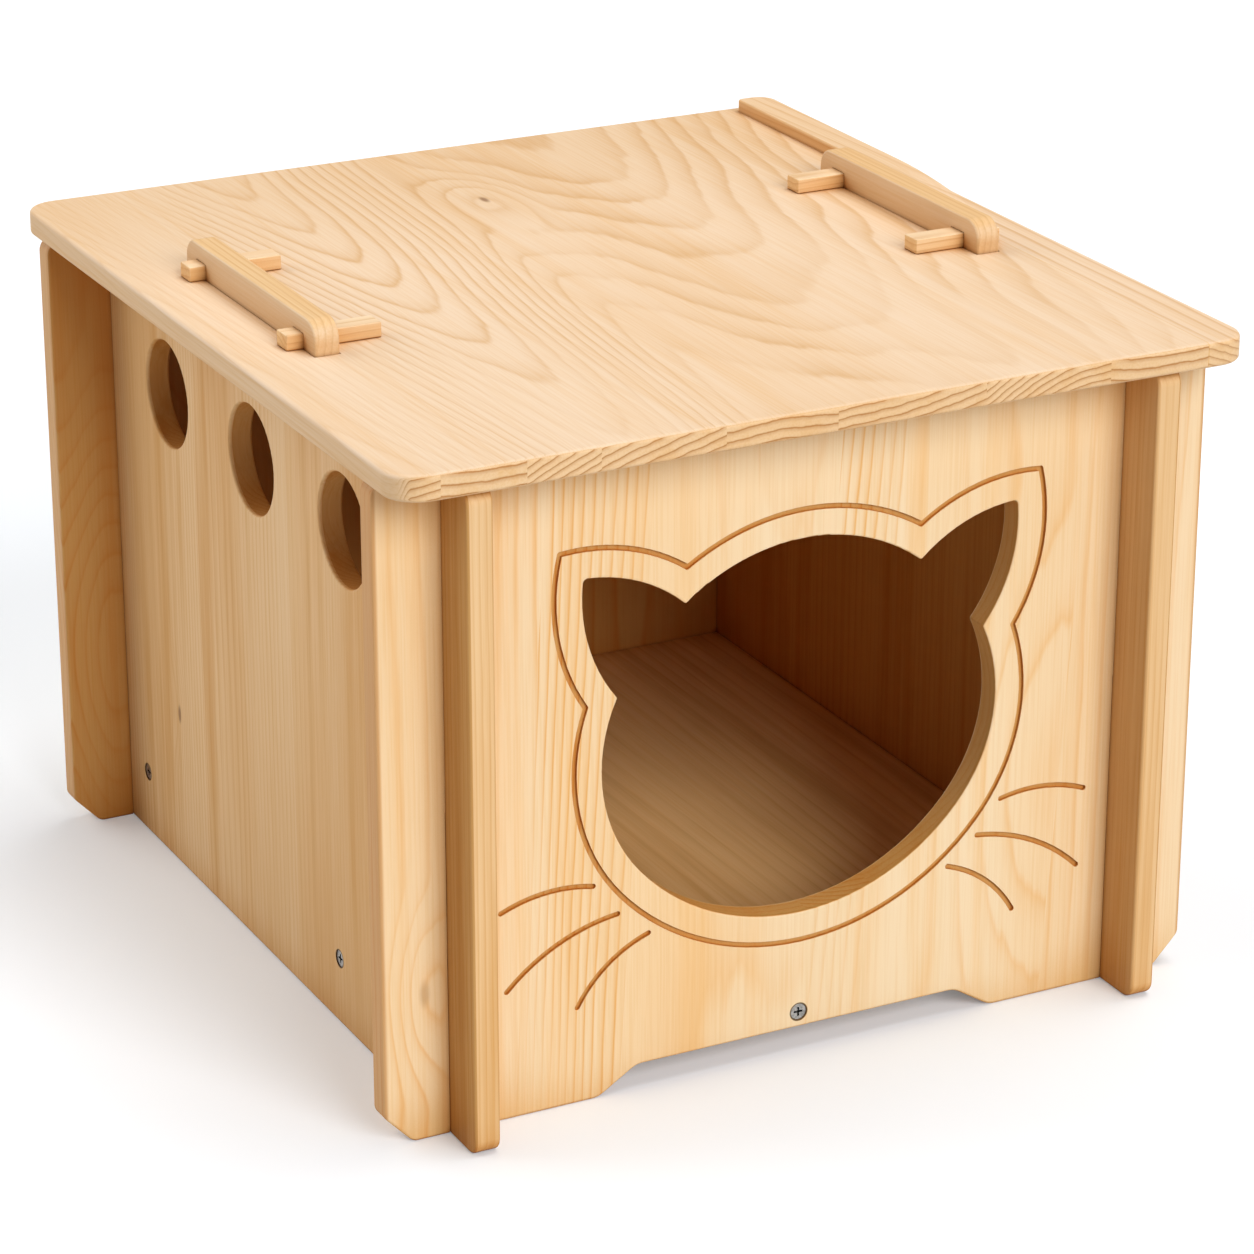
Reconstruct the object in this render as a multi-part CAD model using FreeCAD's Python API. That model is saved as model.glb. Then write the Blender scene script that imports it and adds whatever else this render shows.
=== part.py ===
import FreeCAD
import Part
import math
import os
from FreeCAD import Placement, Rotation, Vector

# A wooden cat house: slotted pine walls, a loose lid over two tenons, and four sliding keys that lock it.
# Millimetres. X is to the right seen from the entrance, Y to the rear, Z up, and Z = 0 is the ground.

# Stock and fits
board = 15.0
slot_play = 0.4
floor_play = 0.6
tenon_play = 0.8
key_play = 0.6
screw_play = 0.2
board_edge_round = 1.5

# Walls
wall_height = 385.0
front_lug = 33.0
rear_lug = 14.0
lug_corner = 9.0
wing_corner = 9.0
foot_cut_width = 17.0
foot_cut_height = 18.0
foot_cut_round = 7.0
relief_width = 206.0
relief_run = 24.0
relief_height = 15.0
relief_round = 14.0

# Lid, its right-hand edge stave and the rail that stands on the stave
lid_width = 520.0
lid_depth = 555.0
lid_corner = 20.0
lid_edge_round = 2.5
lid_margin = 7.0
side_inset = 42.0
end_inset = 3.0
rail_gap = 2.0
rail_inset = 8.0
rail_height = 8.0
rail_full_length = 170.0
rail_ramp_length = 135.0
rail_sink = 0.4
rail_outer_corner = 12.0
rail_inner_corner = 3.0

# Tenons and keys
tenon_length = 188.0
tenon_rise = 19.0
tenon_corner = 12.0
tenon_setback = 130.0
key_length = 57.0
key_width = 14.0
key_height = 9.0
key_stub = 10.0
key_end_distance = 23.0
key_edge_round = 0.8

# Vents
vent_count = 3
vent_diameter = 66.0
vent_drop = 75.5
vent_pitch = 130.0
vent_setback = 89.0
vent_edge_round = 1.5

# Floor and cleats
floor_rise = 34.0
cleat_depth = 20.0
cleat_height = 19.0

# Entrance: a cat's head with two ears, cut through the front wall
chin_height = 87.0
head_tall = 224.5
cheek_rise = 110.0
cheek_half_width = 124.3
chin_flatness = 12.0
notch_rise = 42.0
valley_out = 73.5
valley_drop = 25.5
ear_tip_out = 135.0
ear_tip_drop = 0.5
ear_inner_bulge = 6.0
ear_outer_bulge = 7.5
ear_tip_round = 3.0
valley_round = 1.5
entrance_edge_round = 1.0

# Engraved line round the entrance, and whiskers as inner end, outer end and bulge, with heights from the chin
groove_setback = 17.0
groove_width = 3.2
groove_depth = 2.0
whiskers = (
    ((130.0, 43.5), (186.0, 39.0), 4.5),
    ((115.0, 23.7), (183.0, -9.0), 6.5),
    ((96.0, 8.0), (140.0, -28.0), 5.4),
)

# Countersunk wood screws
screw_diameter = 5.0
screw_head_diameter = 10.0
screw_head_sink = 0.5
screw_recess_length = 5.6
screw_recess_width = 1.3
screw_recess_depth = 1.7
side_screw_length = 40.0
end_screw_cover = 3.0
side_screw_count = 2
side_screw_pitch = 300.0
side_screw_setback = 30.0

# Places that follow from the sizes above
lid_top = wall_height + board
end_width = lid_width - 2 * end_inset
side_outer = lid_width / 2 - side_inset
side_inner = side_outer - board
side_middle = side_outer - board / 2
lug_front = lid_margin - lid_depth / 2
lug_rear = lid_depth / 2 - lid_margin
front_face = lug_front + front_lug
rear_face = lug_rear - rear_lug
cabin_front = front_face + board
cabin_rear = rear_face - board
halving_height = wall_height / 2
tenon_rear = cabin_rear - tenon_setback
tenon_front = tenon_rear - tenon_length
stave_width = side_inset - key_stub - rail_gap
stave_inner = lid_width / 2 - stave_width
rail_width = stave_width - rail_inset
vent_height = wall_height - vent_drop
crown_height = chin_height + head_tall
cheek_height = chin_height + cheek_rise
cheek_radius = cheek_rise - chin_flatness
notch_height = cheek_height + notch_rise
valley_height = crown_height - valley_drop
ear_tip_height = crown_height - ear_tip_drop
key_places = {"front": tenon_front + key_end_distance, "rear": tenon_rear - key_end_distance}
cleat_bottom = floor_rise - cleat_height
side_screw_height = floor_rise + board / 2
end_screw_height = floor_rise - cleat_height / 2
end_screw_length = board + cleat_depth - end_screw_cover
side_screw_places = [
    cabin_rear - side_screw_setback - index * side_screw_pitch for index in range(side_screw_count)
]


def block(low, high):
    """A box between two opposite corners."""
    size = Vector(*high) - Vector(*low)
    return Part.makeBox(size.x, size.y, size.z, Vector(*low))


def prism(points, thickness):
    """A solid between a closed outline and its copy moved by the thickness vector."""
    outline = Part.makePolygon([Vector(*point) for point in points] + [Vector(*points[0])])
    return Part.Face(outline).extrude(thickness)


def edges_through(solid, axis, places):
    """Straight edges along an axis, 'x', 'y' or 'z', that pass through the places on the other two axes."""
    across = [name for name in "xyz" if name != axis]
    found = []
    for edge in solid.Edges:
        ends = [vertex.Point for vertex in edge.Vertexes]
        if len(ends) != 2 or edge.Length - ends[0].distanceToPoint(ends[1]) > 1e-6:
            continue
        for place in places:
            spots = [getattr(end, name) - value for end in ends for name, value in zip(across, place)]
            if max(abs(spot) for spot in spots) < 1e-4:
                found.append(edge)
    return found


def edges_in_plane(solid, axis, value):
    """Every edge that lies in the plane where one coordinate has the value."""
    low = axis.upper() + "Min"
    high = axis.upper() + "Max"
    found = []
    for edge in solid.Edges:
        box = edge.BoundBox
        if abs(getattr(box, low) - value) < 1e-4 and abs(getattr(box, high) - value) < 1e-4:
            found.append(edge)
    return found


def round_faces(solid, axis, values, radius):
    """Ease the edges of the solid's two broad faces."""
    edges = [edge for value in values for edge in edges_in_plane(solid, axis, value)]
    return solid.makeFillet(radius, edges)


def mirrored_x(shape):
    """The same shape on the other side of the middle plane."""
    return shape.mirror(Vector(0, 0, 0), Vector(1, 0, 0))


def screw_solid(length):
    """A countersunk screw with its head's flat at the origin, pointing down."""
    head_radius = screw_head_diameter / 2
    shank_radius = screw_diameter / 2
    head_height = head_radius - shank_radius
    head = Part.makeCone(shank_radius, head_radius, head_height, Vector(0, 0, -head_height))
    tip_height = shank_radius * 2
    shank_length = length - head_height - tip_height
    shank = Part.makeCylinder(shank_radius, shank_length, Vector(0, 0, tip_height - length))
    tip = Part.makeCone(shank_radius / 4, shank_radius, tip_height, Vector(0, 0, -length))
    half = screw_recess_length / 2
    slim = screw_recess_width / 2
    cross = block((-half, -slim, -screw_recess_depth), (half, slim, 1))
    cross = cross.fuse(block((-slim, -half, -screw_recess_depth), (slim, half, 1)))
    return head.fuse([shank, tip]).removeSplitter().cut(cross)


def screw_hole(length):
    """The hole that a screw of this length sits in, countersunk to the depth of its head."""
    play = screw_play / 2
    head_radius = screw_head_diameter / 2 + play
    shank_radius = screw_diameter / 2 + play
    cone_height = head_radius - shank_radius
    hole = Part.makeCylinder(shank_radius, length + play, Vector(0, 0, -length - play))
    cone = Part.makeCone(shank_radius, head_radius, cone_height, Vector(0, 0, -cone_height))
    mouth = Part.makeCylinder(head_radius, board, Vector(0, 0, 0))
    return hole.fuse([cone, mouth])


def driven(shape, face_point, direction):
    """A screw or its hole, sunk into a face at the point and aimed along the direction."""
    turned = shape.copy()
    seat = face_point + direction * screw_head_sink
    turned.Placement = Placement(seat, Rotation(Vector(0, 0, -1), direction))
    return turned


def side_screw_seats(side):
    """Where the floor screws enter a side wall; side is -1 on the left and 1 on the right."""
    return [Vector(side * side_outer, place, side_screw_height) for place in side_screw_places]


def end_screw_seat(face):
    """Where the cleat screw enters the front or rear wall."""
    return Vector(0, face, end_screw_height)


def end_wall(face, inward):
    """The blank of the front or rear wall: slotted from below, with feet and a shallow relief between."""
    half = end_width / 2
    relief = relief_width / 2
    foot = half - foot_cut_width
    toe = relief + relief_run
    right = [(relief, relief_height), (toe, 0), (foot, 0), (half, foot_cut_height), (half, wall_height)]
    outline = right + [(-x, z) for x, z in reversed(right)]
    wall = prism([(x, face, z) for x, z in outline], Vector(0, inward * board, 0))
    for radius, corners in (
        (wing_corner, [(half, wall_height)]),
        (foot_cut_round, [(half, foot_cut_height), (foot, 0)]),
        (relief_round, [(toe, 0), (relief, relief_height)]),
    ):
        both = corners + [(-x, z) for x, z in corners]
        wall = wall.makeFillet(radius, edges_through(wall, "y", both))
    wall = round_faces(wall, "y", (face, face + inward * board), board_edge_round)
    reach = (board + slot_play) / 2
    faces = sorted((face - inward, face + inward * (board + 1)))
    for middle in (-side_middle, side_middle):
        low = (middle - reach, faces[0], -1)
        high = (middle + reach, faces[1], halving_height + slot_play / 2)
        wall = wall.cut(block(low, high))
    hole = driven(screw_hole(end_screw_length), end_screw_seat(face), Vector(0, inward, 0))
    return wall.cut(hole)


def on_front(x, z):
    """A point of the front wall's outer face."""
    return Vector(x, front_face, z)


def bulge_circle(start, end, bulge):
    """Centre and radius of the arc from start to end that bulges to the left of its chord."""
    chord = end - start
    radius = (chord.Length ** 2 / 4 + bulge ** 2) / (2 * bulge)
    left = Vector(-chord.z, 0, chord.x).normalize()
    return (start + end) * 0.5 - left * (radius - bulge), radius


def circles_meet(first, second, near):
    """The crossing of two circles, each a centre and a radius, that lies nearest to a point."""
    span = second[0] - first[0]
    along = (first[1] ** 2 - second[1] ** 2 + span.Length ** 2) / (2 * span.Length)
    rise = math.sqrt(first[1] ** 2 - along ** 2)
    direction = Vector(span).normalize()
    foot = first[0] + direction * along
    upright = Vector(-direction.z, 0, direction.x) * rise
    return min((foot + upright, foot - upright), key=near.distanceToPoint)


def cat_arcs(grow):
    """The right half of the cat's head, from its top to its chin, set out by a distance.

    Each arc is a start, an end, a centre and a radius.
    """
    valley = on_front(valley_out, valley_height)
    tip = on_front(ear_tip_out, ear_tip_height)
    cheek_centre = on_front(cheek_half_width - cheek_radius, cheek_height)
    notch_out = math.sqrt(cheek_radius ** 2 - (notch_height - cheek_height) ** 2)
    notch = on_front(cheek_centre.x + notch_out, notch_height)
    head_radius = (valley_out ** 2 + valley_drop ** 2) / (2 * valley_drop)
    head_centre = on_front(0, crown_height - head_radius)
    drop = chin_height + cheek_radius
    chin_level = (cheek_centre.x ** 2 + cheek_height ** 2 - drop ** 2) / (2 * (cheek_height - drop))
    chin_centre = on_front(0, chin_level)
    head = (head_centre, head_radius + grow)
    cheek = (cheek_centre, cheek_radius + grow)
    chin = (chin_centre, chin_level - chin_height + grow)
    centre, radius = bulge_circle(valley, tip, ear_inner_bulge)
    ear_inner = (centre, radius + grow)
    centre, radius = bulge_circle(tip, notch, ear_outer_bulge)
    ear_outer = (centre, radius + grow)
    jaw = cheek_centre + (cheek_centre - chin_centre).normalize() * cheek[1]
    corners = [
        head_centre + Vector(0, 0, head[1]),
        circles_meet(head, ear_inner, valley),
        circles_meet(ear_inner, ear_outer, tip),
        circles_meet(ear_outer, cheek, notch),
        jaw,
        chin_centre - Vector(0, 0, chin[1]),
    ]
    circles = [head, ear_inner, ear_outer, cheek, chin]
    return [(corners[i], corners[i + 1], *circles[i]) for i in range(len(circles))]


def arc_edge(start, end, centre, radius):
    """The short arc between two points of a circle."""
    middle = centre + ((start + end) * 0.5 - centre).normalize() * radius
    return Part.Arc(start, middle, end).toShape()


def entrance_cutter():
    """The opening's solid, with its ear tips and inner points slightly rounded."""
    right = cat_arcs(0)
    edges = [arc_edge(*arc) for arc in right]
    edges += [mirrored_x(edge) for edge in edges]
    outline = Part.Wire(Part.__sortEdges__(edges))
    cutter = Part.Face(outline).extrude(Vector(0, board, 0))
    corners = [arc[1] for arc in right]
    for radius, points in ((ear_tip_round, [corners[1]]), (valley_round, [corners[0], corners[2]])):
        places = [(sign * point.x, point.z) for point in points for sign in (-1, 1)]
        cutter = cutter.makeFillet(radius, edges_through(cutter, "y", places))
    return cutter


def arc_channel(start, end, centre, radius):
    """A narrow groove along an arc, with round ends."""
    outline = Part.Wire([arc_edge(start, end, centre, radius)]).makeOffset2D(groove_width / 2)
    return Part.Face(outline).extrude(Vector(0, groove_depth, 0))


def front_panel():
    """The front wall with its entrance, engraved outline and whiskers."""
    wall = end_wall(front_face, 1)
    wall = wall.cut(entrance_cutter())
    rim = [
        edge for edge in edges_in_plane(wall, "y", front_face)
        if edge.BoundBox.ZMin > chin_height - 1 and edge.BoundBox.ZMax < crown_height + 2
        and abs(edge.BoundBox.Center.x) < ear_tip_out + 1
    ]
    wall = wall.makeFillet(entrance_edge_round, rim)
    lines = cat_arcs(groove_setback)
    for inner, outer, bulge in whiskers:
        start = on_front(inner[0], chin_height + inner[1])
        end = on_front(outer[0], chin_height + outer[1])
        lines.append((start, end, *bulge_circle(start, end, bulge)))
    for line in lines:
        channel = arc_channel(*line)
        wall = wall.cut(channel)
        wall = wall.cut(mirrored_x(channel))
    return wall


def back_panel():
    """The rear wall, from the same blank as the front."""
    return end_wall(rear_face, -1)


def side_panel():
    """The left side wall: slotted from above, with vents, and a long tenon that carries two key holes."""
    faces = (-side_outer, -side_inner)
    wall = block((faces[0], lug_front, 0), (faces[1], lug_rear, wall_height))
    corners = [(y, z) for y in (lug_front, lug_rear) for z in (0, wall_height)]
    wall = wall.makeFillet(lug_corner, edges_through(wall, "x", corners))
    wall = round_faces(wall, "x", faces, board_edge_round)
    root = wall_height - 2 * board
    top = lid_top + tenon_rise
    tenon = block((faces[0], tenon_front, root), (faces[1], tenon_rear, top))
    ends = [(tenon_front, top), (tenon_rear, top)]
    tenon = tenon.makeFillet(tenon_corner, edges_through(tenon, "x", ends))
    eased = [
        edge for face in faces for edge in edges_in_plane(tenon, "x", face) if edge.BoundBox.ZMax > root + 1
    ]
    tenon = tenon.makeFillet(board_edge_round, eased)
    wall = wall.fuse(tenon).removeSplitter()
    reach = slot_play / 2
    for near, far in ((front_face, cabin_front), (cabin_rear, rear_face)):
        low = (faces[0] - 1, near - reach, halving_height - reach)
        high = (faces[1] + 1, far + reach, wall_height + 1)
        wall = wall.cut(block(low, high))
    for index in range(vent_count):
        centre = Vector(faces[0] - 1, cabin_rear - vent_setback - index * vent_pitch, vent_height)
        wall = wall.cut(Part.makeCylinder(vent_diameter / 2, board + 2, centre, Vector(1, 0, 0)))
    rims = [
        edge for face in faces for edge in edges_in_plane(wall, "x", face)
        if edge.Curve.TypeId == "Part::GeomCircle" and abs(edge.Curve.Radius - vent_diameter / 2) < 1e-4
    ]
    wall = wall.makeFillet(vent_edge_round, rims)
    play = key_play / 2
    for place in key_places.values():
        low = (faces[0] - 1, place - key_width / 2 - play, lid_top - play)
        high = (faces[1] + 1, place + key_width / 2 + play, lid_top + key_height + play)
        wall = wall.cut(block(low, high))
    for seat in side_screw_seats(-1):
        wall = wall.cut(driven(screw_hole(side_screw_length), seat, Vector(1, 0, 0)))
    return wall


def floor_panel():
    """The raised floor, bored at its sides for the floor screws."""
    reach = floor_play / 2
    low = (-side_inner + reach, cabin_front + reach, floor_rise)
    high = (side_inner - reach, cabin_rear - reach, floor_rise + board)
    floor = block(low, high)
    for side in (-1, 1):
        for seat in side_screw_seats(side):
            floor = floor.cut(driven(screw_hole(side_screw_length), seat, Vector(-side, 0, 0)))
    return floor


def floor_cleat(wall_face, panel_face, inward):
    """A batten under the floor's front or rear edge, screwed on through the wall."""
    reach = floor_play / 2
    ends = sorted((wall_face, wall_face + inward * cleat_depth))
    low = (-side_inner + reach, ends[0], cleat_bottom)
    high = (side_inner - reach, ends[1], floor_rise)
    hole = driven(screw_hole(end_screw_length), end_screw_seat(panel_face), Vector(0, inward, 0))
    return block(low, high).cut(hole)


def lid_panel():
    """The lid: one edge-glued panel with a slot for each side wall's tenon."""
    half_width = lid_width / 2
    half_depth = lid_depth / 2
    lid = block((-half_width, -half_depth, wall_height), (stave_inner, half_depth, lid_top))
    corners = [(-half_width, y) for y in (-half_depth, half_depth)]
    lid = lid.makeFillet(lid_corner, edges_through(lid, "z", corners))
    eased = [
        edge for level in (wall_height, lid_top) for edge in edges_in_plane(lid, "z", level)
        if edge.BoundBox.XMin < stave_inner - 1
    ]
    lid = lid.makeFillet(lid_edge_round, eased)
    reach = tenon_play / 2
    for middle in (-side_middle, side_middle):
        low = (middle - board / 2 - reach, tenon_front - reach, wall_height - 1)
        high = (middle + board / 2 + reach, tenon_rear + reach, lid_top + 1)
        lid = lid.cut(block(low, high))
    return lid


def on_stave(y, z):
    """A point of the face where the edge stave meets the lid's panel."""
    return Vector(stave_inner, y, z)


def edge_rail():
    """The rail's solid: it sinks into the stave in two long curves beside the tenon."""
    rear = lid_depth / 2 - rail_inset
    ramp = rear - rail_full_length
    toe = ramp - rail_ramp_length
    top = lid_top + rail_height
    foot = lid_top - rail_sink
    root = lid_top - board / 2
    half_run = rail_ramp_length / 2
    half_drop = (top - foot) / 2
    radius = (half_run ** 2 + half_drop ** 2) / (2 * half_drop)
    turn = math.asin(half_run / radius) / 2
    run = radius * math.sin(turn)
    sag = radius * (1 - math.cos(turn))
    middle = on_stave(ramp - half_run, top - half_drop)
    crest = Part.Arc(on_stave(ramp, top), on_stave(ramp - run, top - sag), middle)
    dip = Part.Arc(middle, on_stave(toe + run, foot + sag), on_stave(toe, foot))
    straight = Part.makePolygon([
        on_stave(toe, foot),
        on_stave(toe, root),
        on_stave(rear, root),
        on_stave(rear, top),
        on_stave(ramp, top),
    ])
    profile = Part.Wire([crest.toShape(), dip.toShape()] + straight.Edges)
    rail = Part.Face(profile).extrude(Vector(rail_width, 0, 0))
    outer = stave_inner + rail_width
    rail = rail.makeFillet(rail_outer_corner, edges_through(rail, "z", [(outer, rear)]))
    rail = rail.makeFillet(rail_inner_corner, edges_through(rail, "z", [(stave_inner, rear)]))
    return rail.makeFillet(board_edge_round, edges_in_plane(rail, "z", top))


def lid_edge_stave():
    """The lid's right-hand stave, glued to the panel, with a low rail left standing on it."""
    outer = lid_width / 2
    ends = (-lid_depth / 2, lid_depth / 2)
    stave = block((stave_inner, ends[0], wall_height), (outer, ends[1], lid_top))
    stave = stave.makeFillet(lid_corner, edges_through(stave, "z", [(outer, end) for end in ends]))
    eased = [
        edge for level in (wall_height, lid_top) for edge in edges_in_plane(stave, "z", level)
        if edge.BoundBox.XMax > stave_inner + 1
    ]
    stave = stave.makeFillet(lid_edge_round, eased)
    return stave.fuse(edge_rail()).removeSplitter()


def key(place):
    """A left-hand key: a wooden bar through the tenon, its longer end towards the lid's middle."""
    start = -side_outer - key_stub
    low = (start, place - key_width / 2, lid_top)
    high = (start + key_length, place + key_width / 2, lid_top + key_height)
    bar = block(low, high)
    return bar.makeFillet(key_edge_round, bar.Edges)


def side_screws(side):
    """The two screws that hold the floor's edge to one side wall."""
    screw = screw_solid(side_screw_length)
    return Part.makeCompound([driven(screw, seat, Vector(-side, 0, 0)) for seat in side_screw_seats(side)])


def end_screw(face, inward):
    """The screw that holds a floor cleat to the front or rear wall."""
    return driven(screw_solid(end_screw_length), end_screw_seat(face), Vector(0, inward, 0))


left_side = side_panel()
nodes = {
    "front_panel": front_panel(),
    "back_panel": back_panel(),
    "left_side_panel": left_side,
    "right_side_panel": mirrored_x(left_side),
    "floor_panel": floor_panel(),
    "front_floor_cleat": floor_cleat(cabin_front, front_face, 1),
    "rear_floor_cleat": floor_cleat(cabin_rear, rear_face, -1),
    "lid_panel": lid_panel(),
    "lid_edge_stave": lid_edge_stave(),
    "left_floor_screws": side_screws(-1),
    "right_floor_screws": side_screws(1),
    "front_cleat_screw": end_screw(front_face, 1),
    "rear_cleat_screw": end_screw(rear_face, -1),
}
for end, place in key_places.items():
    left_key = key(place)
    nodes["left_%s_key" % end] = left_key
    nodes["right_%s_key" % end] = mirrored_x(left_key)

os.makedirs("parts", exist_ok=True)
for name, shape in nodes.items():
    shape.exportStep("parts/%s.step" % name)
    print(name, len(shape.Solids), shape.isValid(), round(shape.Volume / 1000, 1), "cm3")
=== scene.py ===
import bpy
import math
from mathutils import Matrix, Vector


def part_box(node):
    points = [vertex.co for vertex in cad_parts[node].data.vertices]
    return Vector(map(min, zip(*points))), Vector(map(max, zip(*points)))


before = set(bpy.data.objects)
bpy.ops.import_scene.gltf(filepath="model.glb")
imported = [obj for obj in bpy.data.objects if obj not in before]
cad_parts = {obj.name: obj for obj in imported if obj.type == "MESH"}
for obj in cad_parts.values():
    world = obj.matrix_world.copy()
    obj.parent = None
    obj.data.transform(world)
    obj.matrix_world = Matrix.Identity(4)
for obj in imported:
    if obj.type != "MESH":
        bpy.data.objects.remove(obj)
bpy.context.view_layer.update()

# Side walls: two upright panels of edge-glued pine, slotted to cross the front and back walls, with three
# bored vents and a long tenon each. Screws hold them to the floor. A clear satin oil leaves the wood honey
# yellow, and one small knot shows low at the rear of the left wall.
side_early = (0.81, 0.56, 0.31, 1)
side_late = (0.66, 0.34, 0.10, 1)
side_streak = (0.66, 0.36, 0.12, 1)
tenon_early = (0.76, 0.555, 0.355, 1)
tenon_late = (0.60, 0.35, 0.16, 1)
knot_brown = (0.22, 0.095, 0.035, 1)
plain = (1, 1, 1, 1)
end_tint = (1.0, 0.92, 0.75, 1)
fibre_tint = (0.97, 0.93, 0.86, 1)
# Painted shade: the next tint darkens corners and recesses, by how closed in each spot is.
nook_shade_tint = (0.85, 0.66, 0.40, 1)
# Painted shade: the next tint darkens tight creases, such as where two parts meet.
crease_shade_tint = (0.50, 0.32, 0.16, 1)
stave_tint = (0.94, 0.86, 0.73, 1)
# Painted shade: the next tint darkens the inner faces of the cabin and makes them more orange.
cabin_shade_tint = (0.90, 0.64, 0.30, 1)
bore_tint = (0.74, 0.56, 0.33, 1)
# Painted shade: the next tint darkens the lugs' broad faces in front of the front wall, less on their inner
# faces.
lug_shade_tint = (0.74, 0.59, 0.36, 1)
# Painted shadow: the next tint is the dark ring in the gap round each countersunk head.
sink_shadow_tint = (0.16, 0.12, 0.07, 1)

# A stave is its start across the panel, the slope of its layers and its share of the stave tint.
side_staves = (
    (-0.2705, 0.75, 0.2), (-0.205, 0.55, 0.7), (-0.145, 0.95, 0.3), (-0.082, 0.65, 0.8), (-0.030, 0.85, 0.1),
    (0.042, 0.55, 0.6), (0.108, 0.95, 0.3), (0.168, 0.70, 0.7), (0.222, 0.80, 0.4),
)
# A knot is its middle, how far out and how high it lifts the layers, between which radii its brown fades, and
# how brown it is. Its shape is drawn out along the grain.
left_knot = {"across": 0.152, "along": 0.103, "reach": 0.022, "rise": 0.009, "core": 0.001, "edge": 0.0032,
             "brown": 0.75}
knot_stretch = 0.4
side_rings, tenon_rings = 0.7, 0.6
side_streaks, tenon_streaks = 0.9, 0.3

skin = 0.0005
side_low, side_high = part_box("left_side_panel")
cabin_half = skin - side_high.x
cabin_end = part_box("back_panel")[1].y
lug_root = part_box("front_panel")[0].y
lug_middle = -(side_low.x + side_high.x) / 2
lug_flat_half = 0.0062
inner_lug_shade_share = 0.45
vent_middle = 0.0225
vent_reach = 0.18
vent_rounding = 0.0022
vent_skin = -side_low.x - vent_rounding
tenon_root = 0.002
tenon_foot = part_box("lid_panel")[1].z - tenon_root
screws_low, screws_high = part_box("left_floor_screws")
side_screw_height = (screws_low.z + screws_high.z) / 2
side_screw_middle = (screws_low.y + screws_high.y) / 2
side_screw_half = (screws_high.y - screws_low.y - screws_high.z + screws_low.z) / 2
sink_shadow_radii = (0.0055, 0.0060)

# A noise is its repeats in a metre across, through and along the grain, its detail and its roughness.
feather_noise = ((110, 110, 11), 3.0, 0.5)
fading_noise = ((13, 13, 2.5), 2.0, 0.5)
streak_noise = ((48, 48, 1.5), 4.0, 0.6)
fibre_noise = ((800, 800, 14), 2.0, 0.6)
tone_noise = ((7, 7, 1.6), 2.0, 0.5)
swell_detail = 1.6
swell_roughness = 0.4
feather_rise = 0.0022
# A ring is its darkness at places from one edge to the other. A span is the two ends of a value's range and,
# where these are not nought and one, what it gives at each of them.
narrow_ring = ((0.0, 0.10), (0.10, 0.0), (0.50, 0.08), (0.76, 0.42), (0.90, 1.0), (0.96, 0.5), (1.0, 0.10))
broad_ring = ((0.0, 0.06), (0.14, 0.0), (0.40, 0.12), (0.70, 0.34), (0.90, 0.66), (0.96, 0.40), (1.0, 0.06))
fading_span = (0.36, 0.64, 0.25, 1.0)
tone_span = (0.42, 0.75, 0.0, 0.5)
streak_span = (0.46, 0.72)
fibre_span = (0.38, 0.70)
satin_span = (0.3, 0.7, 0.52, 0.66)
end_span = (0.55, 0.85)
ring_height = -0.5
fibre_height = 0.6
pore_depth = 0.0002
pore_strength = 0.25
oil_gloss = 0.2
nook_reach = 0.05
nook_span = (0.25, 0.8)
crease_reach = 0.005
crease_span = (0.2, 0.75)


def add_node(tree, kind, settings=None, **sockets):
    """A node with its settings and its inputs, each a value or another node's output."""
    made = tree.nodes.new(kind)
    for name, value in (settings or {}).items():
        setattr(made, name, value)
    for name, value in sockets.items():
        place = int(name[1:]) if name[0] == "i" and name[1:].isdigit() else name.replace("_", " ")
        if isinstance(value, bpy.types.NodeSocket):
            tree.links.new(value, made.inputs[place])
        else:
            made.inputs[place].default_value = value
    return made


def sums(tree, operation, first, second=0.0, third=0.0):
    """One arithmetic step on values."""
    made = add_node(tree, "ShaderNodeMath", {"operation": operation}, i0=first, i1=second, i2=third)
    return made.outputs[0]


def times(tree, first, second):
    """The product of two values."""
    return sums(tree, "MULTIPLY", first, second)


def below(tree, value, limit):
    """One where a value is less than a limit, and nought elsewhere."""
    return sums(tree, "LESS_THAN", value, limit)


def above(tree, value, limit):
    """One where a value is more than a limit, and nought elsewhere."""
    return sums(tree, "GREATER_THAN", value, limit)


def diagonal(tree, first, second):
    """The length of a step from its two parts."""
    return sums(tree, "SQRT", sums(tree, "MULTIPLY_ADD", first, first, times(tree, second, second)))


def mixed(tree, share, first, second, blend="MIX"):
    """Two colours mixed by a share."""
    made = add_node(tree, "ShaderNodeMix", {"data_type": "RGBA", "blend_type": blend},
                    i0=share, i6=first, i7=second)
    return made.outputs[2]


def blended(tree, share, first, second):
    """Two values mixed by a share."""
    return add_node(tree, "ShaderNodeMix", {"data_type": "FLOAT"}, i0=share, i2=first, i3=second).outputs[0]


def spread(tree, value, low, high, to_low=0.0, to_high=1.0):
    """A value carried smoothly from one span to another."""
    made = add_node(tree, "ShaderNodeMapRange", {"interpolation_type": "SMOOTHSTEP"}, Value=value,
                    From_Min=low, From_Max=high, To_Min=to_low, To_Max=to_high)
    return made.outputs[0]


def stretched_noise(tree, given, scales, detail, roughness):
    """Cloudy variation drawn out along the grain."""
    place = add_node(tree, "ShaderNodeCombineXYZ", X=times(tree, given["Across"], scales[0]),
                     Y=times(tree, given["Through"], scales[1]), Z=times(tree, given["Along"], scales[2]))
    moved = add_node(tree, "ShaderNodeVectorMath", {"operation": "ADD"}, i0=place.outputs[0],
                     i1=given["Seed"])
    made = add_node(tree, "ShaderNodeTexNoise", Vector=moved.outputs[0], Scale=1.0, Detail=detail,
                    Roughness=roughness)
    return made.outputs[0]


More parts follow.
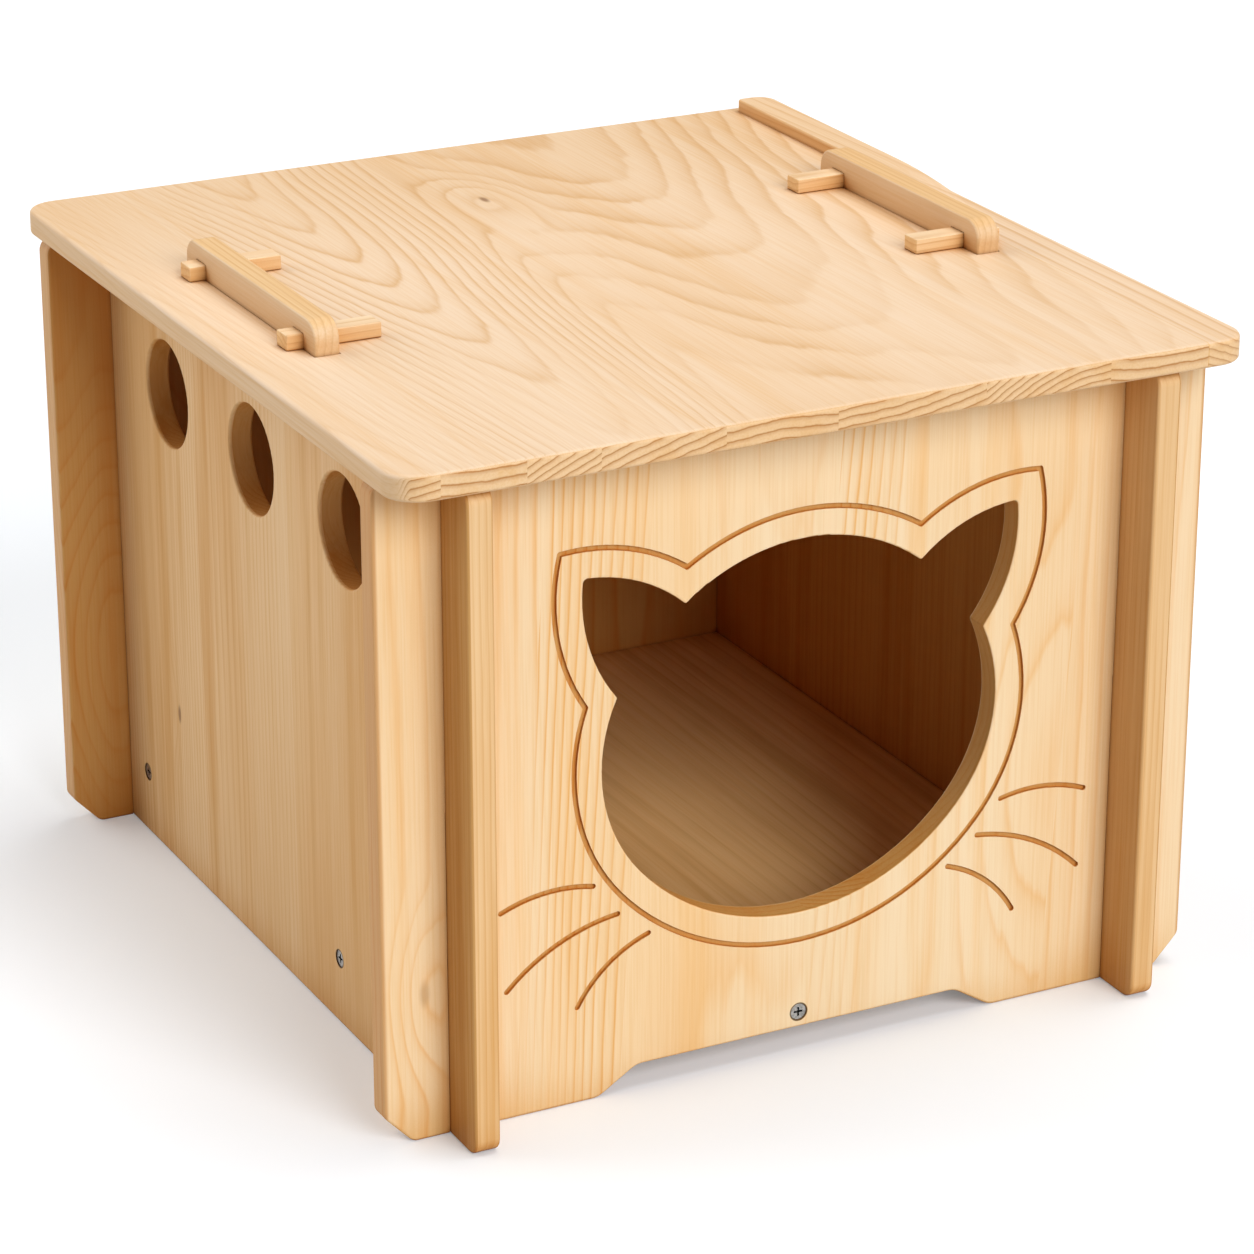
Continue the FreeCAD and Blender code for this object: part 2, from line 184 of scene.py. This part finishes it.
def ring_profile(tree, phase, steps):
    """How dark one growth ring is from its early wood to its late wood."""
    made = add_node(tree, "ShaderNodeValToRGB", Fac=phase)
    ramp = made.color_ramp
    for element, (_, level) in zip(ramp.elements, (steps[0], steps[-1])):
        element.color = (level, level, level, 1)
    for position, level in steps[1:-1]:
        ramp.elements.new(position).color = (level, level, level, 1)
    return made.outputs[0]


def pine_group():
    """Growth layers through the solid board, with streaks and fine fibres along the grain."""
    tree = bpy.data.node_groups.new("pine_growth", "ShaderNodeTree")
    for side, kind, names in (
        ("INPUT", "NodeSocketFloat", ("Across", "Through", "Along", "Lift", "Knot", "Ends", "Swell",
                                      "Swell across", "Swell along", "Ring spacing", "Ring strength",
                                      "Ring breadth", "Streak strength")),
        ("INPUT", "NodeSocketVector", ("Seed",)),
        ("INPUT", "NodeSocketColor", ("Early wood", "Late wood", "Streak", "Knot wood", "End tint", "Stain")),
        ("OUTPUT", "NodeSocketColor", ("Colour",)),
        ("OUTPUT", "NodeSocketFloat", ("Roughness", "Height")),
    ):
        for name in names:
            tree.interface.new_socket(name, in_out=side, socket_type=kind)
    given = tree.nodes.new("NodeGroupInput").outputs

    swell_scales = (given["Swell across"], 0.0, given["Swell along"])
    swell = stretched_noise(tree, given, swell_scales, swell_detail, swell_roughness)
    feather = stretched_noise(tree, given, *feather_noise)
    layer = sums(tree, "MULTIPLY_ADD", swell, given["Swell"], given["Through"])
    layer = sums(tree, "MULTIPLY_ADD", feather, feather_rise, layer)
    layer = sums(tree, "ADD", layer, given["Lift"])
    phase = sums(tree, "FRACT", sums(tree, "DIVIDE", layer, given["Ring spacing"]))
    ring = blended(tree, given["Ring breadth"], ring_profile(tree, phase, narrow_ring),
                   ring_profile(tree, phase, broad_ring))

    fading = spread(tree, stretched_noise(tree, given, *fading_noise), *fading_span)
    fading = sums(tree, "MAXIMUM", fading, given["Ends"])
    ring_share = times(tree, times(tree, ring, fading), given["Ring strength"])
    streaks = spread(tree, stretched_noise(tree, given, *streak_noise), *streak_span)
    fibre = stretched_noise(tree, given, *fibre_noise)
    tone = spread(tree, stretched_noise(tree, given, *tone_noise), *tone_span)

    colour = mixed(tree, tone, given["Early wood"], given["Streak"])
    colour = mixed(tree, times(tree, streaks, given["Streak strength"]), colour, given["Streak"])
    colour = mixed(tree, ring_share, colour, given["Late wood"])
    colour = mixed(tree, given["Ends"], colour, given["End tint"], "MULTIPLY")
    # This tint carries each board's own tone and the shade painted on its faces.
    colour = mixed(tree, 1.0, colour, given["Stain"], "MULTIPLY")
    colour = mixed(tree, spread(tree, fibre, *fibre_span), colour, fibre_tint, "MULTIPLY")
    colour = mixed(tree, given["Knot"], colour, given["Knot wood"])
    height = sums(tree, "MULTIPLY_ADD", ring_share, ring_height, times(tree, fibre, fibre_height))
    add_node(tree, "NodeGroupOutput", Colour=colour, Height=height,
             Roughness=spread(tree, fibre, *satin_span))
    return tree


pine = pine_group()


def empty_tree(owner):
    """The cleared node tree of a material or of the surround."""
    owner.use_nodes = True
    owner.node_tree.nodes.clear()
    return owner.node_tree


def closeness(tree, reach, span):
    """How closed in a spot is by what lies within a reach of it, for shade painted into a colour."""
    openness = add_node(tree, "ShaderNodeAmbientOcclusion", {"samples": 8}, Distance=reach).outputs["AO"]
    return spread(tree, openness, *span, 1.0, 0.0)


def pine_material(name, axes, shape=None, **looks):
    """A board's finish, with shade painted into its corners and creases. The axes are its across, through and
    along directions, the looks its plain values, and the shape gives the values that change over the board."""
    material = bpy.data.materials.new(name)
    tree = empty_tree(material)
    given = tree.nodes.new("ShaderNodeTexCoord").outputs
    place = add_node(tree, "ShaderNodeSeparateXYZ", Vector=given["Object"]).outputs
    facing = add_node(tree, "ShaderNodeSeparateXYZ", Vector=given["Normal"]).outputs
    across, through, along = axes
    ends = spread(tree, sums(tree, "ABSOLUTE", facing[along]), *end_span)
    grain = add_node(tree, "ShaderNodeGroup", {"node_tree": pine}, Across=place[across],
                     Through=place[through], Along=place[along], Ends=ends, Knot_wood=knot_brown,
                     End_tint=end_tint, Stain=plain, **looks)
    own = shape(tree, place, ends) if shape else {}
    crease_shade_share = own.pop("Crease", 1.0)
    for socket, value in own.items():
        tree.links.new(value, grain.inputs[socket])
    # Painted shade: darker in corners and recesses, and darker still in tight creases.
    nook_shade = closeness(tree, nook_reach, nook_span)
    crease_shade = times(tree, closeness(tree, crease_reach, crease_span), crease_shade_share)
    colour = mixed(tree, nook_shade, grain.outputs["Colour"], nook_shade_tint, "MULTIPLY")
    colour = mixed(tree, crease_shade, colour, crease_shade_tint, "MULTIPLY")
    pores = add_node(tree, "ShaderNodeBump", Strength=pore_strength, Distance=pore_depth,
                     Height=grain.outputs["Height"])
    surface = add_node(tree, "ShaderNodeBsdfPrincipled", Base_Color=colour, Normal=pores.outputs[0],
                       Roughness=grain.outputs["Roughness"], Specular_IOR_Level=oil_gloss)
    add_node(tree, "ShaderNodeOutputMaterial", Surface=surface.outputs[0])
    return material


def knot_reach(tree, across, along, knot):
    """The distance from a knot's middle, with the knot drawn out along the grain."""
    side = sums(tree, "SUBTRACT", across, knot["across"])
    length = times(tree, sums(tree, "SUBTRACT", along, knot["along"]), knot_stretch)
    return diagonal(tree, side, length)


def knot_rise(tree, reach, knot):
    """How far a knot or a swirl lifts the layers round it."""
    return spread(tree, reach, 0.0, knot["reach"], knot["rise"], 0.0)


def knot_share(tree, reach, knot):
    """How much of a knot's brown shows."""
    return spread(tree, reach, knot["core"], knot["edge"], knot["brown"], 0.0)


def stave_values(tree, value, staves):
    """The two values that each glued stave has of its own, at a place across the panel."""
    low = staves[0][0]
    width = 2 * abs(low)
    share = sums(tree, "DIVIDE", sums(tree, "SUBTRACT", value, low), width)
    made = add_node(tree, "ShaderNodeValToRGB", Fac=share)
    ramp = made.color_ramp
    ramp.interpolation = "CONSTANT"
    ramp.elements.remove(ramp.elements[1])
    for start, first, second in staves:
        position = (start - low) / width
        element = ramp.elements[0] if position <= 0 else ramp.elements.new(position)
        element.color = (first, second, 0, 1)
    return add_node(tree, "ShaderNodeSeparateColor", Color=made.outputs[0]).outputs[:2]


def sink_shadow_ring(tree, out, up):
    """The painted shadow in the gap round a countersunk head, from the distances to its screw's middle."""
    return spread(tree, diagonal(tree, out, up), *sink_shadow_radii, 1.0, 0.0)


def side_shape(tree, place, ends):
    """Staves with straight grain, level grain in the tenon, a knot on the left, darker bores, and painted
    shade on the lugs, the inner faces and round the countersinks."""
    tenon = above(tree, place["Z"], tenon_foot)
    upright = sums(tree, "SUBTRACT", 1.0, tenon)
    left = below(tree, place["X"], 0.0)
    out = sums(tree, "ABSOLUTE", place["X"])
    housed = times(tree, above(tree, place["Y"], lug_root), below(tree, place["Y"], cabin_end))
    shaded_inside = times(tree, below(tree, out, cabin_half), housed)
    broad_faces = sums(tree, "MULTIPLY_ADD", below(tree, out, lug_middle - lug_flat_half), inner_lug_shade_share,
                       above(tree, out, lug_middle + lug_flat_half))
    shaded_lug = times(tree, below(tree, place["Y"], lug_root), broad_faces)
    vents = sums(tree, "COMPARE", place["Y"], vent_middle, vent_reach)
    bored = times(tree, below(tree, out, vent_skin), vents)
    from_middle = sums(tree, "ABSOLUTE", sums(tree, "SUBTRACT", place["Y"], side_screw_middle))
    sink_shadow = sink_shadow_ring(tree, sums(tree, "SUBTRACT", from_middle, side_screw_half),
                   sums(tree, "SUBTRACT", place["Z"], side_screw_height))
    slope, tone = stave_values(tree, place["Y"], side_staves)
    reach = knot_reach(tree, place["Y"], place["Z"], left_knot)
    rise = times(tree, left, knot_rise(tree, reach, left_knot))
    stain = mixed(tree, times(tree, tone, upright), plain, stave_tint)
    stain = mixed(tree, times(tree, bored, upright), stain, bore_tint)
    stain = mixed(tree, shaded_lug, stain, lug_shade_tint)
    stain = mixed(tree, sink_shadow, stain, sink_shadow_tint)
    return {
        "Across": blended(tree, tenon, place["Y"], place["Z"]),
        "Along": blended(tree, tenon, place["Z"], place["Y"]),
        "Early wood": mixed(tree, tenon, side_early, tenon_early),
        "Late wood": mixed(tree, tenon, side_late, tenon_late),
        "Stain": mixed(tree, times(tree, shaded_inside, upright), stain, cabin_shade_tint),
        "Ring strength": blended(tree, tenon, side_rings, tenon_rings),
        "Streak strength": blended(tree, tenon, side_streaks, tenon_streaks),
        "Lift": sums(tree, "MULTIPLY_ADD", times(tree, slope, place["Y"]), upright, rise),
        "Knot": times(tree, left, knot_share(tree, reach, left_knot)),
    }


def finish_pieces(material, *names):
    """Gives carried-over pieces their finish."""
    for name in names:
        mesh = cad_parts[name].data
        mesh.materials.clear()
        mesh.materials.append(material)


side_pine = pine_material("side_pine", "YXZ", side_shape, Seed=(3.1, 7.4, 1.2), Streak=side_streak,
                          Swell=0.05, Swell_across=7.0, Swell_along=0.7, Ring_spacing=0.0042)
finish_pieces(side_pine, "left_side_panel", "right_side_panel")

# Front and back walls: two edge-glued pine boards of one outline, dropped over the side walls' slots from
# above. The front one has the cat's-head entrance sawn out, and a thin line and whiskers routed round it.
# One screw low in the middle of each holds a floor cleat.
front_early = (0.88, 0.685, 0.445, 1)
front_late = (0.80, 0.42, 0.12, 1)
front_streak = (0.865, 0.57, 0.28, 1)
cut_tint = (0.82, 0.61, 0.34, 1)
groove_tint = (0.76, 0.55, 0.28, 1)
# Painted shade: edge_shade darkens the walls' narrow outer edges.
edge_shade = (0.73, 0.555, 0.395, 1)
front_staves = (
    (-0.257, 0.25, 0.3), (-0.168, 0.85, 0.7), (-0.104, 0.12, 0.2), (0.012, 0.75, 0.6), (0.052, 0.15, 0.0),
    (0.172, 0.45, 0.1),
)
stave_lean = -0.06
stave_shift = 0.012
front_tone = 0.4
front_rings = (0.0, 0.7, 0.45, 1.0)
front_swirl = {"across": 0.150, "along": 0.135, "reach": 0.08, "rise": 0.014}
front_knot = {"across": -0.232, "along": 0.088, "reach": 0.03, "rise": 0.012, "core": 0.001, "edge": 0.0045,
              "brown": 0.3}
front_low, front_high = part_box("front_panel")
front_depth = front_high.y - front_low.y - skin
edge_start = 0.003
edge_full = 0.001
edge_span = (front_high.x - edge_start, front_high.x - edge_full)
sawn_reach = 0.145
sawn_span = (0.0023, 0.0033)
routed_reach = 0.200
routed_span = (0.0003, 0.0008)
groove_lip = (0.00005, 0.0002)
groove_floor = 0.0023
# Only a tenth of the painted crease shade falls in the routed grooves.
groove_crease_shade = 0.1
end_screw_low, end_screw_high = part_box("front_cleat_screw")
end_screw_height = (end_screw_low.z + end_screw_high.z) / 2


def end_wall_shade(tree, place, stain):
    """A wall's tone with painted shade on its narrow outer edges and a painted shadow round the countersink
    of its screw.
    """
    edge = spread(tree, sums(tree, "ABSOLUTE", place["X"]), *edge_span)
    sink_shadow = sink_shadow_ring(tree, place["X"], sums(tree, "SUBTRACT", place["Z"], end_screw_height))
    return mixed(tree, sink_shadow, mixed(tree, edge, stain, edge_shade), sink_shadow_tint)


def front_shape(tree, place, ends):
    """Staves that lean a little, a soft swirl, a faint knot, darker routed and sawn faces, and painted shade
    on the outer edges and round the countersink.
    """
    across = sums(tree, "MULTIPLY_ADD", place["Z"], stave_lean, sums(tree, "ADD", place["X"], stave_shift))
    slope, tone = stave_values(tree, across, front_staves)
    swirl = knot_rise(tree, knot_reach(tree, place["X"], place["Z"], front_swirl), front_swirl)
    swirl = times(tree, swirl, below(tree, across, front_staves[-1][0]))
    reach = knot_reach(tree, place["X"], place["Z"], front_knot)
    rise = sums(tree, "ADD", swirl, knot_rise(tree, reach, front_knot))
    depth = sums(tree, "SUBTRACT", place["Y"], front_low.y)
    before_back = below(tree, depth, front_depth)
    sawn = times(tree, sums(tree, "COMPARE", place["X"], 0.0, sawn_reach), before_back)
    routed = times(tree, sums(tree, "COMPARE", place["X"], 0.0, routed_reach), before_back)
    groove = times(tree, spread(tree, depth, *groove_lip),
                   times(tree, routed, below(tree, depth, groove_floor)))
    stain = mixed(tree, times(tree, tone, front_tone), plain, stave_tint)
    stain = end_wall_shade(tree, place, stain)
    stain = mixed(tree, times(tree, routed, spread(tree, depth, *routed_span)), stain, groove_tint)
    stain = mixed(tree, times(tree, sawn, spread(tree, depth, *sawn_span)), stain, cut_tint)
    return {
        "Crease": spread(tree, groove, 0.0, 1.0, 1.0, groove_crease_shade),
        "Knot": knot_share(tree, reach, front_knot),
        "Lift": sums(tree, "MULTIPLY_ADD", slope, across, rise),
        "Ring strength": spread(tree, tone, *front_rings),
        "Stain": stain,
    }


front_pine = pine_material("front_pine", "XYZ", front_shape, Seed=(11.7, 2.3, 5.1), Early_wood=front_early,
                           Late_wood=front_late, Streak=front_streak, Streak_strength=0.8, Swell=0.06,
                           Swell_across=7.0, Swell_along=0.8, Ring_spacing=0.0055)
finish_pieces(front_pine, "front_panel")
# Painted shade on the back wall's inner face: the wings darker towards the top, the cabin darker and more
# orange, most of all on its left half.
wing_low_shade = (0.75, 0.54, 0.28, 1)
wing_shade = (0.63, 0.39, 0.16, 1)
back_cabin_shade = (0.50, 0.30, 0.11, 1)
back_low, back_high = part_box("back_panel")
wing_shade_start = 0.20
wing_span = (wing_shade_start, back_high.z)
cabin_rear = back_low.y + skin
back_shade_span = (0.0, 0.05)
back_swirl = {"across": -0.222, "along": 0.115, "reach": 0.09, "rise": 0.045}


def back_shape(tree, place, ends):
    """A swirl on the left wing, and painted shade on the inner face, in the cabin and on the wings."""
    housed = below(tree, sums(tree, "ABSOLUTE", place["X"]), cabin_half)
    wing = mixed(tree, spread(tree, place["Z"], *wing_span), wing_low_shade, wing_shade)
    cabin = mixed(tree, spread(tree, place["X"], *back_shade_span), back_cabin_shade, cabin_shade_tint)
    inner = mixed(tree, housed, wing, cabin)
    outer = end_wall_shade(tree, place, plain)
    return {
        "Stain": mixed(tree, below(tree, place["Y"], cabin_rear), outer, inner),
        "Lift": knot_rise(tree, knot_reach(tree, place["X"], place["Z"], back_swirl), back_swirl),
    }


back_pine = pine_material("back_pine", "XYZ", back_shape, Seed=(21.3, 5.9, 8.4), Early_wood=front_early,
                          Late_wood=front_late, Streak=front_streak, Ring_strength=0.75, Streak_strength=0.8,
                          Swell=0.09, Swell_across=8.0, Swell_along=0.8, Ring_spacing=0.0055)
finish_pieces(back_pine, "back_panel")

# Floor cleats: two planed pine battens that carry the floor's front and rear edges.
# Each is screwed to the inner face of the front or the back wall, just under the floor.
cleat_pine = pine_material("cleat_pine", "YZX", Seed=(6.2, 3.3, 2.8), Early_wood=side_early,
                           Late_wood=side_late, Streak=side_streak, Ring_strength=0.6, Streak_strength=0.6,
                           Swell=0.06, Swell_across=14.0, Swell_along=1.4, Ring_spacing=0.004)
finish_pieces(cleat_pine, "front_floor_cleat", "rear_floor_cleat")

# Floor: one pine panel between the four walls, with its grain from front to back.
# It lies on the cleats, and the side walls' screws go into its edges.
floor_early = (0.90, 0.57, 0.25, 1)
floor_slope = 0.6


def floor_shape(tree, place, ends):
    """Layers that lean across the panel, so that the grain runs straight."""
    return {"Lift": times(tree, place["X"], floor_slope)}


floor_pine = pine_material("floor_pine", "XZY", floor_shape, Seed=(8.8, 1.9, 4.4), Early_wood=floor_early,
                           Late_wood=side_late, Streak=side_streak, Ring_strength=0.55, Streak_strength=0.7,
                           Swell=0.06, Swell_across=6.0, Swell_along=0.7, Ring_spacing=0.0055)
finish_pieces(floor_pine, "floor_panel")

# Lid: an edge-glued pine panel that lies on the walls, with two slots for the tenons. Its grain runs from
# front to back, with nested loops on the left and broader ones on the right, and its front and rear edges
# show the end grain of each stave.
lid_early = (0.805, 0.61, 0.43, 1)
lid_late = (0.64, 0.375, 0.16, 1)
lid_streak = (0.765, 0.515, 0.295, 1)
end_late = (0.45, 0.205, 0.06, 1)
# Painted shade: the next tint darkens every face below the lid's top except those facing front or rear, such
# as the side edges.
lid_side_shade = (0.92, 0.84, 0.70, 1)
rear_tint = (0.94, 0.90, 0.83, 1)
# A stave is its start across the panel, the slope of its layers and its ring spacing in centimetres.
lid_staves = (
    (-0.260, 0.30, 0.46), (-0.236, 0.05, 0.60), (-0.187, 0.42, 0.44), (-0.145, 0.34, 0.50),
    (-0.073, 0.02, 0.55), (-0.006, 0.14, 0.50), (0.087, 0.30, 0.42), (0.165, 0.05, 0.60),
)
centimetre = 0.01
lid_knot = {"across": -0.005, "along": 0.158, "reach": 0.035, "rise": 0.012, "core": 0.0008, "edge": 0.0034,
            "brown": 0.75}
left_loops = {"middle": -0.125, "width": 0.045, "slope": 1.1, "climb": -0.085}
right_loops = {"middle": 0.065, "width": 0.035, "slope": 0.20, "climb": -0.06}
right_rise = 0.078
loop_blend = 0.03
loop_spacing = 0.0052
loop_swell = (-0.12, 0.08, 0.035, 0.05)
end_swell = 0.05
broad_loops = (-0.07, 0.05)
left_rings = (-0.215, -0.165, 0.35, 1.0)
right_rings = (-0.05, 0.05, 0.75, 1.0)
rear_span = (0.02, 0.26)
lid_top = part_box("lid_panel")[1].z
lid_edge_full = 0.0035
lid_edge_start = 0.0015
lid_edge = (lid_top - lid_edge_full, lid_top - lid_edge_start)


def loop_layers(tree, place, loops):
    """Layers that lie in long nested loops on both sides of a line along the grain."""
    side = sums(tree, "SUBTRACT", place["X"], loops["middle"])
    arm = sums(tree, "SQRT", sums(tree, "MULTIPLY_ADD", side, side, loops["width"] ** 2))
    return sums(tree, "MULTIPLY_ADD", arm, loops["slope"], times(tree, place["Y"], loops["climb"]))


def lid_shape(tree, place, ends):
    """Two sets of loops, a knot with its eye, slanted layers in each stave's end, and painted shade on the
    side edges.
    """
    left = loop_layers(tree, place, left_loops)
    right = sums(tree, "ADD", loop_layers(tree, place, right_loops), right_rise)
    reach = knot_reach(tree, place["X"], place["Y"], lid_knot)
    loops = sums(tree, "ADD", sums(tree, "SMOOTH_MIN", left, right, loop_blend),
                 knot_rise(tree, reach, lid_knot))
    slope, spacing = stave_values(tree, place["X"], lid_staves)
    slant = times(tree, times(tree, slope, place["X"]), -1.0)
    rings = times(tree, spread(tree, place["X"], *right_rings), spread(tree, place["X"], *left_rings))
    warmth = mixed(tree, spread(tree, place["Y"], *rear_span), plain, rear_tint)
    shaded_side_edge = times(tree, spread(tree, place["Z"], *lid_edge, 1.0, 0.0), sums(tree, "SUBTRACT", 1.0, ends))
    return {
        "Lift": blended(tree, ends, loops, slant),
        "Late wood": mixed(tree, ends, lid_late, end_late),
        "Knot": knot_share(tree, reach, lid_knot),
        "Swell": blended(tree, ends, spread(tree, place["X"], *loop_swell), end_swell),
        "Stain": mixed(tree, shaded_side_edge, warmth, lid_side_shade),
        "Ring spacing": blended(tree, ends, loop_spacing, times(tree, spacing, centimetre)),
        "Ring strength": blended(tree, ends, rings, 1.0),
        "Ring breadth": blended(tree, ends, spread(tree, place["X"], *broad_loops), 0.0),
    }


lid_pine = pine_material("lid_pine", "XZY", lid_shape, Seed=(2.6, 9.3, 7.7), Early_wood=lid_early,
                         Streak=lid_streak, Streak_strength=0.7, Swell_across=7.0, Swell_along=2.2)
finish_pieces(lid_pine, "lid_panel")

# Edge stave: the pine stave that is glued on as the lid's right-hand edge. Its rear part is left standing as
# a low rail, and it is planed down beside the tenon.
stave_early = (0.775, 0.545, 0.335, 1)
stave_late = (0.64, 0.37, 0.16, 1)
stave_streak = (0.75, 0.49, 0.27, 1)
# Painted shade: the next tint darkens the inner face of the edge stave's rail.
rail_inner_shade = (0.96, 0.85, 0.65, 1)
rail_skin = 0.0006
rail_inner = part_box("lid_edge_stave")[0].x + rail_skin
rail_start = (-0.05, 0.10)
stave_slope = 0.5


def stave_shape(tree, place, ends):
    """Layers that lean across the stave, and painted shade on the rail's inner face."""
    return {
        "Early wood": mixed(tree, spread(tree, place["Y"], *rail_start), lid_early, stave_early),
        "Late wood": mixed(tree, ends, stave_late, end_late),
        "Stain": mixed(tree, below(tree, place["X"], rail_inner), plain, rail_inner_shade),
        "Lift": times(tree, place["X"], stave_slope),
    }


stave_pine = pine_material("stave_pine", "XZY", stave_shape, Seed=(14.2, 6.6, 1.1), Streak=stave_streak,
                           Ring_strength=0.75, Streak_strength=0.5, Swell=0.03, Swell_across=16.0,
                           Swell_along=1.0, Ring_spacing=0.0045)
finish_pieces(stave_pine, "lid_edge_stave")

# Keys: four short planed bars of pine with lightly rounded edges.
# Each slides through a mortise in a tenon, just above the lid, and two to a tenon lock the lid down.
key_early = (0.86, 0.67, 0.45, 1)
key_pine = pine_material("key_pine", "YZX", Seed=(17.5, 3.8, 9.6), Early_wood=key_early, Late_wood=stave_late,
                         Streak=stave_streak, Ring_strength=0.65, Streak_strength=0.6, Swell=0.05,
                         Swell_across=18.0, Swell_along=2.0, Ring_spacing=0.004)
finish_pieces(key_pine, "left_front_key", "left_rear_key", "right_front_key", "right_rear_key")

# Screws: six countersunk wood screws of zinc-plated steel with a cross recess, driven just below the surface.
# Two go through each side wall into the floor, and one each through the front and back walls into a cleat.
steel_light = (0.50, 0.50, 0.49, 1)
steel_dark = (0.31, 0.31, 0.30, 1)
# Painted shade: the next colour darkens the cross recess and other hollows on each head.
steel_recess_shade = (0.02, 0.02, 0.02, 1)
cloud_scale = 900.0
cloud_span = (0.35, 0.65)
polish_span = (0.3, 0.7, 0.28, 0.45)
dent_scale = 4000.0
dent_depth = 0.0001
dent_strength = 0.15
recess_reach = 0.002
recess_span = (0.45, 0.95)
screw_steel = bpy.data.materials.new("screw_steel")
steel_tree = empty_tree(screw_steel)
spot = steel_tree.nodes.new("ShaderNodeTexCoord").outputs["Object"]
cloud = add_node(steel_tree, "ShaderNodeTexNoise", Vector=spot, Scale=cloud_scale, Detail=3.0).outputs[0]
dents = add_node(steel_tree, "ShaderNodeTexNoise", Vector=spot, Scale=dent_scale, Detail=1.0).outputs[0]
dented = add_node(steel_tree, "ShaderNodeBump", Strength=dent_strength, Distance=dent_depth, Height=dents)
steel_colour = mixed(steel_tree, spread(steel_tree, cloud, *cloud_span), steel_light, steel_dark)
# Painted shade in the cross recess and round the sunk head.
recess = closeness(steel_tree, recess_reach, recess_span)
steel = add_node(steel_tree, "ShaderNodeBsdfPrincipled", Metallic=1.0, Normal=dented.outputs[0],
                 Base_Color=mixed(steel_tree, recess, steel_colour, steel_recess_shade),
                 Roughness=spread(steel_tree, cloud, *polish_span))
add_node(steel_tree, "ShaderNodeOutputMaterial", Surface=steel.outputs[0])
finish_pieces(screw_steel, "left_floor_screws", "right_floor_screws", "front_cleat_screw", "rear_cleat_screw")

# Studio floor: a wide white sheet of paper that the house stands on.
# It shows white to the camera and in reflections, and keeps the house's shadow.
paper_reach = 9.0
paper_seen = (0.75, 0.775, 0.805, 1)
paper_unseen = (0.62, 0.62, 0.62, 1)
paper_glow = 0.19
floor_mesh = bpy.data.meshes.new("studio_floor")
floor_mesh.from_pydata([(-paper_reach, -paper_reach, 0), (paper_reach, -paper_reach, 0),
                        (paper_reach, paper_reach, 0), (-paper_reach, paper_reach, 0)], [], [(0, 1, 2, 3)])
studio_floor = bpy.data.objects.new("studio_floor", floor_mesh)
bpy.context.scene.collection.objects.link(studio_floor)


def seen_by(tree, *rays):
    """One for the kinds of ray that are named, and nought for the others."""
    path = tree.nodes.new("ShaderNodeLightPath").outputs
    seen = path[rays[0]]
    for ray in rays[1:]:
        seen = sums(tree, "MAXIMUM", seen, path[ray])
    return seen


paper = bpy.data.materials.new("studio_paper")
paper_tree = empty_tree(paper)
paper_sight = seen_by(paper_tree, "Is Camera Ray", "Is Glossy Ray", "Is Transmission Ray")
matt = add_node(paper_tree, "ShaderNodeBsdfDiffuse",
                Color=mixed(paper_tree, paper_sight, paper_unseen, paper_seen))
glow = add_node(paper_tree, "ShaderNodeEmission", Color=plain,
                Strength=times(paper_tree, paper_sight, paper_glow))
both = add_node(paper_tree, "ShaderNodeAddShader", i0=matt.outputs[0], i1=glow.outputs[0])
add_node(paper_tree, "ShaderNodeOutputMaterial", Surface=both.outputs[0])
floor_mesh.materials.append(paper)

# Studio light: a dim even surround, which shows white to the camera, and three wide soft lamps.
# One is in front, one is high on the right and one is behind on the left.
surround_light = 0.22
surround_seen = 1.0
world = bpy.data.worlds.new("studio")
bpy.context.scene.world = world
world_tree = empty_tree(world)
world_sight = seen_by(world_tree, "Is Camera Ray", "Is Transmission Ray")
surround = add_node(world_tree, "ShaderNodeBackground", Color=plain,
                    Strength=blended(world_tree, world_sight, surround_light, surround_seen))
add_node(world_tree, "ShaderNodeOutputWorld", Surface=surround.outputs[0])


def towards(azimuth, elevation):
    """The direction from the house to a place round it, in degrees from the entrance and from the ground."""
    turn = math.radians(azimuth)
    lift = math.radians(elevation)
    return Vector((math.sin(turn) * math.cos(lift), -math.cos(turn) * math.cos(lift), math.sin(lift)))


def set_up(name, data, direction):
    """A lamp or the camera, turned to look back along a direction from the house."""
    made = bpy.data.objects.new(name, data)
    made.rotation_mode = "QUATERNION"
    made.rotation_quaternion = (-direction).to_track_quat("-Z", "Y")
    bpy.context.scene.collection.objects.link(made)
    return made


for name, azimuth, elevation, energy, angle in (
    ("front_lamp", 8, 30, 2.22, 36),
    ("top_lamp", 88, 73, 1.48, 38),
    ("rear_lamp", -140, 25, 1.75, 60),
):
    lamp = bpy.data.lights.new(name, "SUN")
    lamp.energy = energy
    lamp.angle = math.radians(angle)
    set_up(name, lamp, towards(azimuth, elevation))

# Camera: a long lens in front of the house and to its left, looking down on the lid.
# Its place, its turn and its focal length, in pixels of the picture, come from the lid's and walls' corners.
picture_width = 1254
focal_length = 4441
film_width = 36.0
camera_place = (-1.1135, -2.2050, 1.1610)
camera_azimuth = -27.04
camera_elevation = 21.76
lens = bpy.data.cameras.new("camera")
lens.sensor_width = film_width
lens.lens = focal_length / picture_width * film_width
camera = set_up("camera", lens, towards(camera_azimuth, camera_elevation))
camera.location = camera_place
bpy.context.scene.camera = camera
bpy.context.scene.view_settings.view_transform = "Standard"
